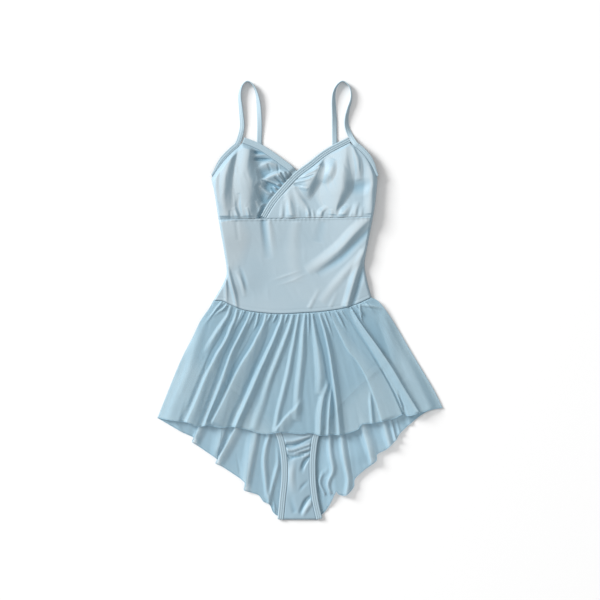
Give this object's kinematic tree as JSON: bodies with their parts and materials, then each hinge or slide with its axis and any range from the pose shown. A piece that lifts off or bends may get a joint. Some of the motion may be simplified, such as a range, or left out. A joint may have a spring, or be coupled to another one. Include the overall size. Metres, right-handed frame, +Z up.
{
  "type": "camisole dance dress",
  "caption": "Pale blue camisole dance dress laid flat, with wrapped cups, thin strap loops, a brief and a gathered net skirt, short in front and long behind.",
  "frame": {"origin": "on the surface that the dress lies on, under the middle of its outline", "axes": "+Z up from the surface, +Y towards the straps, +X to the right of somebody who looks down at the front"},
  "size_m": [0.47, 0.7234, 0.0152],
  "materials": {
    "jersey": "smooth stretch jersey with a faint sheen",
    "binding": "folded jersey tape with two rows of stitches",
    "net": "fine soft net, a little sheer"
  },
  "bodies": {
    "root": {"cup_left": "jersey", "cup_right": "jersey", "midriff_front": "jersey", "back_bodice": "jersey", "brief_front": "jersey", "brief_back": "jersey", "neck_tape_left": "binding", "neck_tape_right": "binding", "back_tape": "binding", "strap_left": "binding", "strap_right": "binding", "leg_tape_left_front": "binding", "leg_tape_left_back": "binding", "leg_tape_right_front": "binding", "leg_tape_right_back": "binding", "skirt_front": "net", "skirt_back": "net"}
  },
  "joints": []
}
